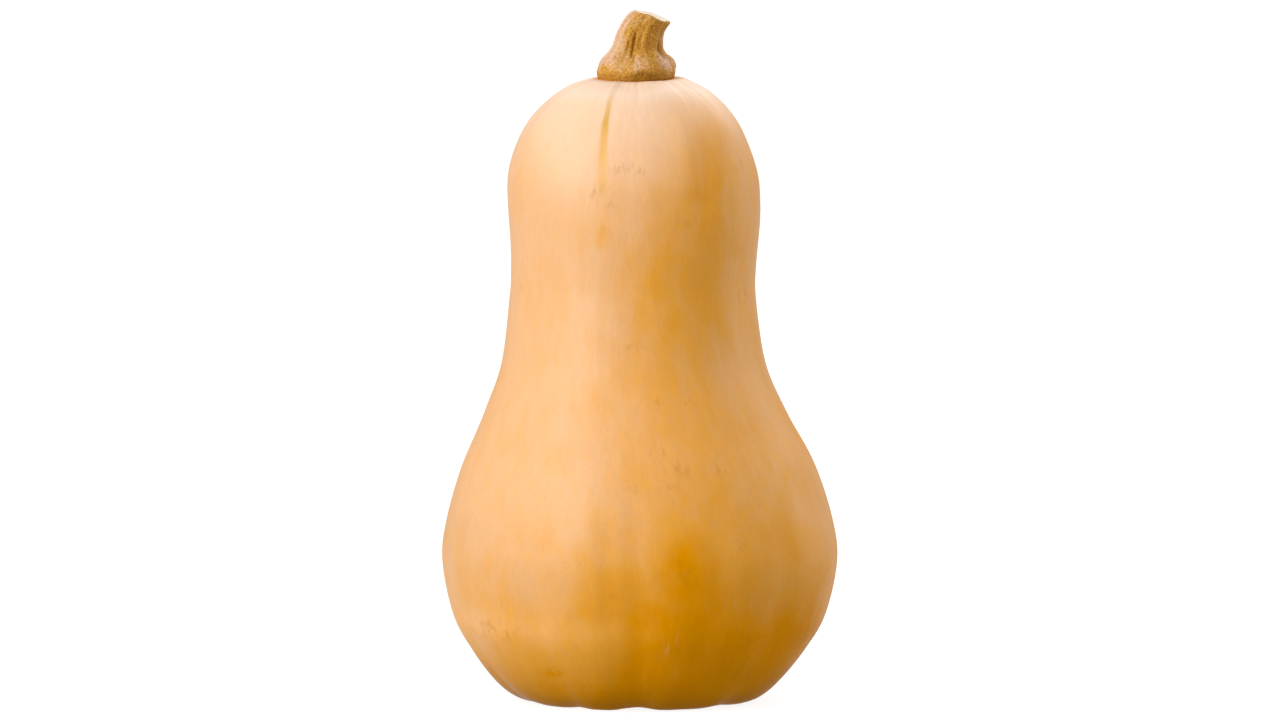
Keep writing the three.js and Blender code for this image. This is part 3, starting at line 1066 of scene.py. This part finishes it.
def lay_floor(settings):
    """A flat white paper floor, a hair below the squash, so that the two never coincide."""
    material = bpy.data.materials.new("white paper sweep")
    add = node_adder(material)
    paper = add(
        "BsdfPrincipled",
        {
            "Base Color": settings.paper_colour,
            "Roughness": 1.0,
            "Specular IOR Level": 0.0,
            "Emission Color": [1, 1, 1],
            "Emission Strength": settings.paper_glow,
        },
    )
    add("OutputMaterial", {"Surface": paper})
    reach, low = settings.floor_reach, -settings.floor_gap
    corners = [(-reach, -reach, low), (reach, -reach, low), (reach, reach, low), (-reach, reach, low)]
    mesh = bpy.data.meshes.new("studio_floor")
    mesh.from_pydata(corners, [], [(0, 1, 2, 3)])
    mesh.materials.append(material)
    floor = in_scene("studio_floor", mesh)
    floor.visible_diffuse = False
    floor.visible_glossy = False


def hang_softbox(name, azimuth, elevation, distance, width, height, power):
    """A softbox that faces the middle of the squash, and that the camera doesn't see."""
    light = bpy.data.lights.new(name, "AREA")
    light.shape, light.size, light.size_y, light.energy = "RECTANGLE", width, height, power
    lamp = in_scene(name, light)
    turn, up = math.radians(azimuth), math.radians(elevation)
    away = Vector((math.sin(turn) * math.cos(up), -math.cos(turn) * math.cos(up), math.sin(up)))
    lamp.location = Vector(LIGHT_AIM) * MM + away * distance
    lamp.rotation_euler = away.to_track_quat("Z", "Y").to_euler()
    lamp.visible_camera = False


def light_room(scene):
    """The light of a pale room, which the camera sees as plain white."""
    world = bpy.data.worlds.new("studio_room")
    add = node_adder(world)
    direction = add("TexCoord", out="Generated")
    up = add("SeparateXYZ", {0: direction}, out="Z")
    right = up.node.outputs["X"]
    left_glow, right_glow = ROOM_SIDES
    aside = add(
        "MapRange",
        {"Value": right, "From Min": -1, "From Max": 1, "To Min": left_glow, "To Max": right_glow},
    )
    share = add("MapRange", {"Value": up, "From Min": -1, "From Max": 1})
    room = add("ValToRGB", {0: share}, stops=[(way, [glow, glow, glow]) for way, glow in ROOM])
    room.node.color_ramp.interpolation = "B_SPLINE"
    room = add("VectorMath", {0: room, "Scale": aside}, operation="SCALE")
    seen = add("LightPath", out="Is Camera Ray")
    air = add("Mix", {0: seen, 6: room, 7: [1, 1, 1]}, **OF_COLOURS)
    add("OutputWorld", {"Surface": add("Background", {"Color": air})})
    scene.world = world


def place_camera(scene, settings):
    """A long lens a little above level, so that the squash shows hardly any perspective."""
    lens = bpy.data.cameras.new("camera")
    lens.lens = lens.sensor_width * settings.camera_distance / settings.frame_width
    camera = in_scene("camera", lens)
    up = settings.camera_elevation
    back = Vector((0, -math.cos(up), math.sin(up)))
    camera.location = Vector(CAMERA_AIM) * MM + back * settings.camera_distance
    camera.rotation_euler = back.to_track_quat("Z", "Y").to_euler()
    scene.camera = camera
    scene.view_settings.view_transform = "Standard"


# --- Settings --------------------------------------------------------------------------------------


def length_setting(name, description, millimetres):
    return FloatProperty(
        name=name, description=description, default=millimetres * MM, min=0, unit="LENGTH"
    )


def share_setting(name, description, default, low=0, high=1):
    return FloatProperty(
        name=name, description=description, default=default, min=low, max=high, subtype="FACTOR"
    )


def angle_setting(name, description, degrees):
    return FloatProperty(
        name=name, description=description, default=math.radians(degrees), subtype="ANGLE"
    )


def count_setting(name, description, default, low, high):
    return IntProperty(name=name, description=description, default=default, min=low, max=high)


def colour_setting(name, description, hex_code):
    return FloatVectorProperty(
        name=name,
        description=description,
        default=linear(hex_code),
        size=3,
        min=0,
        max=1,
        subtype="COLOR",
    )


class SquashFruitSettings(bpy.types.PropertyGroup):
    """The fruit's sizes and colours"""

    rib_depth: length_setting("Rib depth", "Depth of the deepest valley between two ribs", 1.6)
    swell: share_setting(
        "Swell", "Width of the smooth skin before it is creased, as a share of its box's", 1.005, 0.98, 1.02
    )
    standing_flat: length_setting(
        "Standing flat", "How far the lowest points of the ribs are pressed flat", 0.4
    )
    depth_share: share_setting(
        "Depth share", "How deep the fruit is front to back, as a share of its width", 0.985, 0.8, 1.2
    )
    lump_height: length_setting("Lump height", "Height of the skin's slow, uneven swells", 0.4)
    fine_rib_height: length_setting("Fine rib height", "Height of the fine ribs that run up the skin", 0.06)
    crease_share: share_setting(
        "Crease share", "How deep the skin's creases are, as a share of their grown depth", 1.0, 0, 3
    )
    crest_height: length_setting("Crest height", "Height of the one sharper rib on the shoulder", 0.4)
    lip_height: length_setting("Lip height", "Height of the skin's lip round the stem", 0.6)
    pucker_height: length_setting(
        "Pucker height", "Height of the puckers round the stem and the blossom scar", 0.3
    )
    columns: count_setting("Columns", "How many columns of faces go round the fruit", 352, 32, 360)
    rings: count_setting("Rings", "How many rings of points go up the fruit", 270, 32, 276)
    # The ochre, ripe and ripest colours stand partly for painted shade, away from the key light and towards
    # the foot, and the crown colour partly for painted highlight on the top.
    pale_colour: colour_setting("Pale rind", "The rind's colour where it is least ripe", "E9B17A")
    ochre_colour: colour_setting("Ochre rind", "The rind's colour on its sunny side", "E7A037")
    ripe_colour: colour_setting("Ripe rind", "The rind's colour near its foot", "E59300")
    ripest_colour: colour_setting("Ripest rind", "The rind's colour where it is ripest of all", "E09000")
    crown_colour: colour_setting("Crown rind", "The rind's colour round the stem", "F7D4B6")
    scuff_colour: colour_setting("Scuffs", "The colour of pores and scuffs", "B0700E")


class SquashScarSettings(bpy.types.PropertyGroup):
    """The blossom scar's size and colours"""

    radius: length_setting("Radius", "Radius of the blossom scar", 4.3)
    lump_height: length_setting("Lump height", "Height of the cork's lumps", 0.22)
    grain_height: length_setting("Grain height", "Height of the cork's grains", 0.16)
    ray_height: length_setting("Ray height", "Height of the rays round the scar's middle", 0.1)
    columns: count_setting("Columns", "How many columns of faces go round the scar", 144, 24, 240)
    rings: count_setting("Rings", "How many rings of points go over the scar", 72, 12, 120)
    cork_colour: colour_setting("Cork", "The scar's main colour", "A87834")
    rim_colour: colour_setting("Rim", "The scar's colour where it is worn pale", "CC9A4C")
    pip_colour: colour_setting("Pip", "The scar's colour in its middle and its cracks", "623C12")


class SquashStemSettings(bpy.types.PropertyGroup):
    """The stem's sizes and colours"""

    height_share: share_setting(
        "Height share", "Height of the cut's middle, as a share of the stem's whole height", 0.9065, 0.5
    )
    lean: length_setting("Lean", "How far the cut's middle stands to the right of the foot's", 5.5)
    bow: length_setting("Bow", "How far the stem bows to the right above its foot", 0.32)
    cut_tilt: angle_setting("Cut tilt", "How far the cut slopes down to the right", 21)
    cut_hollow: length_setting("Cut hollow", "How far the cut sinks from its rim to its middle", 0.55)
    pith_depth: length_setting("Pith depth", "How far the pith sinks below the cut round it", 0.5)
    ring_height: length_setting("Ring height", "Height of the ring round the pith", 0.12)
    left_wear: length_setting("Left wear", "How far the cut's rim is worn down on the left", 0.95)
    right_wear: length_setting("Right wear", "How far the rim is worn down at the front right", 0.6)
    ridges: count_setting("Ridges", "How many ridges run up the stem", 5, 3, 8)
    first_groove: angle_setting("First groove", "The angle of one groove from the front", -11)
    groove_share: share_setting(
        "Groove share", "Depth of the grooves, as a share of the stem's radius", 0.14, 0, 0.5
    )
    fold_height: length_setting("Fold height", "Height of the long folds in the bark", 0.28)
    lump_height: length_setting("Lump height", "Height of the bark's and the cut's lumps", 0.12)
    grain_height: length_setting("Grain height", "Height of the cork's grains", 0.32)
    columns: count_setting("Columns", "How many columns of faces go round the stem", 320, 32, 400)
    side_rings: count_setting("Side rings", "How many rings of points go up the stem", 170, 32, 200)
    cut_rings: count_setting("Cut rings", "How many rings of points go over the cut", 36, 8, 60)
    bark_colour: colour_setting("Bark", "The bark's main colour", "BB7F25")
    golden_colour: colour_setting("Golden bark", "The bark's colour where it is a little worn", "C99238")
    # The tan and worn colours stand partly for painted highlight, and the creases' colour partly for
    # painted shade.
    tan_colour: colour_setting("Tan bark", "The bark's colour where it is half worn", "D3A271")
    worn_and_highlight_colour: colour_setting("Worn bark", "The bark's colour where it is worn pale", "DAB495")
    crease_shade_and_gap_colour: colour_setting("Creases", "The bark's colour down in its creases", "704506")
    foot_colour: colour_setting("Foot", "The bark's colour where it meets the skin", "8E6004")
    cut_colour: colour_setting("Cut", "The main colour of the cut", "F4E4C8")
    rim_colour: colour_setting("Cut's rim", "The cut's colour at its rim and round its pith", "D9BC8E")
    pith_colour: colour_setting("Pith", "The cut's colour in its middle", "B08A56")


class SquashStudioSettings(bpy.types.PropertyGroup):
    """The sizes of the studio, and its paper"""

    camera_distance: FloatProperty(
        name="Camera distance",
        description="How far the camera stands from the squash",
        default=6.0,
        min=1,
        unit="LENGTH",
    )
    camera_elevation: angle_setting(
        "Camera elevation", "How far above level the camera looks down from", 5.5
    )
    frame_width: length_setting(
        "Frame width", "Width of what the camera takes in at the squash", IMAGE_WIDTH / PIXELS_PER_MM
    )
    floor_reach: FloatProperty(
        name="Floor reach",
        description="How far the paper floor runs on each side",
        default=16.0,
        min=1,
        unit="LENGTH",
    )
    floor_gap: length_setting("Floor gap", "How far the paper lies below the squash", 0.05)
    paper_colour: colour_setting("Paper", "The paper's own colour, which the lights add to", "898989")
    paper_glow: share_setting("Paper glow", "How brightly the paper shines without any light", 0.88)


# --- Operators -------------------------------------------------------------------------------------


class SQUASH_OT_fruit(bpy.types.Operator):
    """Grow the fruit in its rind"""

    bl_idname = "squash.fruit"
    bl_label = "Fruit"

    def execute(self, context):
        settings = context.scene.squash_fruit
        skin, angle, radius_share, height_share = fruit_skin(settings)
        place = rind_place(skin, angle, height_share)
        relief = fruit_relief(settings, skin, place, angle, radius_share, height_share)
        skin = skin + outward(skin) * relief[..., None]
        marks = fruit_marks(skin, place, angle)
        fruit = skin_object("fruit_rind", skin, marks, [rind_material(settings)])
        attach(fruit, BODY)
        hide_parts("fruit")
        return {"FINISHED"}


class SQUASH_OT_scar(bpy.types.Operator):
    """Grow the blossom scar"""

    bl_idname = "squash.scar"
    bl_label = "Blossom scar"

    def execute(self, context):
        settings = context.scene.squash_scar
        skin, marks = scar_skin(settings)
        scar = skin_object("blossom_scar", skin, marks, [scar_material(settings)])
        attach(scar, BODY)
        return {"FINISHED"}


class SQUASH_OT_stem(bpy.types.Operator):
    """Grow the cut stem"""

    bl_idname = "squash.stem"
    bl_label = "Stem"

    def execute(self, context):
        settings = context.scene.squash_stem
        skin, marks, cut_from = stem_skin(settings)
        materials = [bark_material(settings), cut_material(settings)]
        stem = skin_object("cut_stem", skin, marks, materials, cut_from)
        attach(stem, BODY)
        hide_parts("stem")
        return {"FINISHED"}


class SQUASH_OT_studio(bpy.types.Operator):
    """Lay the floor, light the squash and place the camera"""

    bl_idname = "squash.studio"
    bl_label = "Studio"

    def execute(self, context):
        settings = context.scene.squash_studio
        lay_floor(settings)
        for name, light in LIGHTS.items():
            hang_softbox(name, *light)
        light_room(context.scene)
        place_camera(context.scene, settings)
        return {"FINISHED"}


class SQUASH_PT_panel(bpy.types.Panel):
    """The settings of each piece, with the button that makes it"""

    bl_label = "Butternut Squash"
    bl_idname = "SQUASH_PT_panel"
    bl_space_type = "VIEW_3D"
    bl_region_type = "UI"
    bl_category = "Squash"

    def draw(self, context):
        for group, operator in (
            (context.scene.squash_fruit, "squash.fruit"),
            (context.scene.squash_scar, "squash.scar"),
            (context.scene.squash_stem, "squash.stem"),
            (context.scene.squash_studio, "squash.studio"),
        ):
            box = self.layout.box()
            for name in group.__annotations__:
                box.prop(group, name)
            box.operator(operator)


CLASSES = (
    SquashFruitSettings,
    SquashScarSettings,
    SquashStemSettings,
    SquashStudioSettings,
    SQUASH_OT_fruit,
    SQUASH_OT_scar,
    SQUASH_OT_stem,
    SQUASH_OT_studio,
    SQUASH_PT_panel,
)
GROUPS = {
    "squash_fruit": SquashFruitSettings,
    "squash_scar": SquashScarSettings,
    "squash_stem": SquashStemSettings,
    "squash_studio": SquashStudioSettings,
}


def register():
    for cls in CLASSES:
        bpy.utils.register_class(cls)
    for name, group in GROUPS.items():
        setattr(bpy.types.Scene, name, PointerProperty(type=group))


def unregister():
    for name in GROUPS:
        delattr(bpy.types.Scene, name)
    for cls in reversed(CLASSES):
        bpy.utils.unregister_class(cls)


def main():
    register()
    bpy.ops.squash.fruit()
    bpy.ops.squash.scar()
    bpy.ops.squash.stem()
    bpy.ops.squash.studio()


if __name__ == "__main__":
    main()
